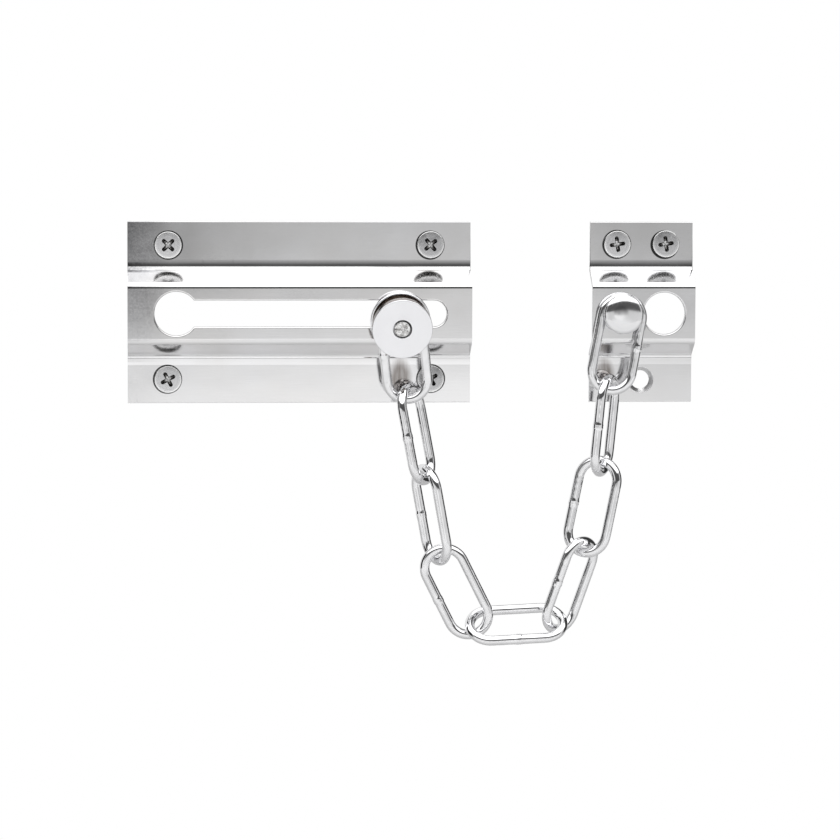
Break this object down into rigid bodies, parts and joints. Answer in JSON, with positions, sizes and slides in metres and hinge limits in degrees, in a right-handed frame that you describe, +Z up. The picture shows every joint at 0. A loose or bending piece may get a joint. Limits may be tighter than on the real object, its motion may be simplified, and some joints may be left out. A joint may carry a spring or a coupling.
{
  "type": "door chain guard",
  "caption": "Door chain guard: a pressed track plate with a keyhole slot, a short keeper plate of the same hat section, and a welded chain that runs from a sliding knob to a rivet",
  "frame": {"origin": "middle of the back of the track plate's upper flange, on the plane of the door and frame (Y = 0)", "axes": "+X from the track plate to the keeper plate, along the slot; +Z up; the object faces -Y"},
  "size_m": [0.1562, 0.0359, 0.1161],
  "materials": {
    "zinc_plate": "bright zinc plated pressed steel",
    "zinc_screw": "bright zinc plated screw",
    "chrome_wire": "bright plated round wire",
    "nickel_disc": "bright plated disc",
    "peened_steel": "plated steel with a hammered end",
    "polished_rivet": "polished rivet head"
  },
  "bodies": {
    "plates": {"track_plate": "zinc_plate", "keeper_plate": "zinc_plate", "track_screw_1": "zinc_screw", "track_screw_2": "zinc_screw", "track_screw_3": "zinc_screw", "track_screw_4": "zinc_screw", "keeper_screw_1": "zinc_screw", "keeper_screw_2": "zinc_screw", "chain_rivet": "polished_rivet"},
    "slider": {"rear_washer": "nickel_disc"},
    "knob": {"slider_stud": "peened_steel", "front_disc": "nickel_disc"},
    "link_9": {"chain_link_9": "chrome_wire"},
    "link_8": {"chain_link_8": "chrome_wire"},
    "link_7": {"chain_link_7": "chrome_wire"},
    "link_6": {"chain_link_6": "chrome_wire"},
    "link_5": {"chain_link_5": "chrome_wire"},
    "link_4": {"chain_link_4": "chrome_wire"},
    "link_3": {"chain_link_3": "chrome_wire"},
    "link_2": {"chain_link_2": "chrome_wire"},
    "link_1": {"chain_link_1": "chrome_wire"}
  },
  "joints": [
    {"name": "slider_slide", "type": "slide", "parent": "plates", "child": "slider", "axis": [1, 0, 0], "range_m": [-0.0611, 0.0088]},
    {"name": "knob_spin", "type": "hinge", "parent": "slider", "child": "knob", "pos_m": [0.0273, -0.00745, -0.0197], "axis": [0, -0.9763, -0.2164], "continuous": true},
    {"name": "link_9_hinge", "type": "hinge", "parent": "plates", "child": "link_9", "pos_m": [0.0886, -0.0099, -0.0185], "axis": [0, -1, 0], "range_deg": [-19.3, 3]},
    {"name": "link_8_hinge", "type": "hinge", "parent": "link_9", "child": "link_8", "pos_m": [0.08503, -0.0098, -0.03798], "axis": [0, -1, 0], "range_deg": [-3.1, 0.7]},
    {"name": "link_7_hinge", "type": "hinge", "parent": "link_8", "child": "link_7", "pos_m": [0.08285, -0.0098, -0.06062], "axis": [0, -1, 0], "range_deg": [-0.6, 0.3]},
    {"name": "link_6_hinge", "type": "hinge", "parent": "link_7", "child": "link_6", "pos_m": [0.07839, -0.00955, -0.08293], "axis": [0, -1, 0], "range_deg": [-0.5, 0.3]},
    {"name": "link_5_hinge", "type": "hinge", "parent": "link_6", "child": "link_5", "pos_m": [0.07091, -0.0103, -0.10441], "axis": [0, -1, 0], "range_deg": [-2.8, 17.6]},
    {"name": "link_4_hinge", "type": "hinge", "parent": "link_5", "child": "link_4", "pos_m": [0.04818, -0.00955, -0.10541], "axis": [0, -1, 0], "range_deg": [-3.8, 24.3]},
    {"name": "link_3_hinge", "type": "hinge", "parent": "link_4", "child": "link_3", "pos_m": [0.03799, -0.00975, -0.08506], "axis": [0, -1, 0], "range_deg": [-1.1, 5.7]},
    {"name": "link_2_hinge", "type": "hinge", "parent": "link_3", "child": "link_2", "pos_m": [0.03392, -0.00975, -0.06268], "axis": [0, -1, 0], "range_deg": [-2.7, 0.6]},
    {"name": "link_1_hinge", "type": "hinge", "parent": "link_2", "child": "link_1", "pos_m": [0.0297, -0.01195, -0.04033], "axis": [0, -1, 0], "range_deg": [-0.4, 0.7]}
  ],
  "couplings": [
    {"joint": "link_9_hinge", "follows": "slider_slide", "rad_per_m": 5.43},
    {"joint": "link_8_hinge", "follows": "slider_slide", "rad_per_m": 0.79},
    {"joint": "link_7_hinge", "follows": "slider_slide", "rad_per_m": 0.08},
    {"joint": "link_6_hinge", "follows": "slider_slide", "rad_per_m": 0.07},
    {"joint": "link_5_hinge", "follows": "slider_slide", "rad_per_m": -4.95},
    {"joint": "link_4_hinge", "follows": "slider_slide", "rad_per_m": -6.86},
    {"joint": "link_3_hinge", "follows": "slider_slide", "rad_per_m": -1.55},
    {"joint": "link_2_hinge", "follows": "slider_slide", "rad_per_m": 0.68},
    {"joint": "link_1_hinge", "follows": "slider_slide", "rad_per_m": -0.1}
  ]
}
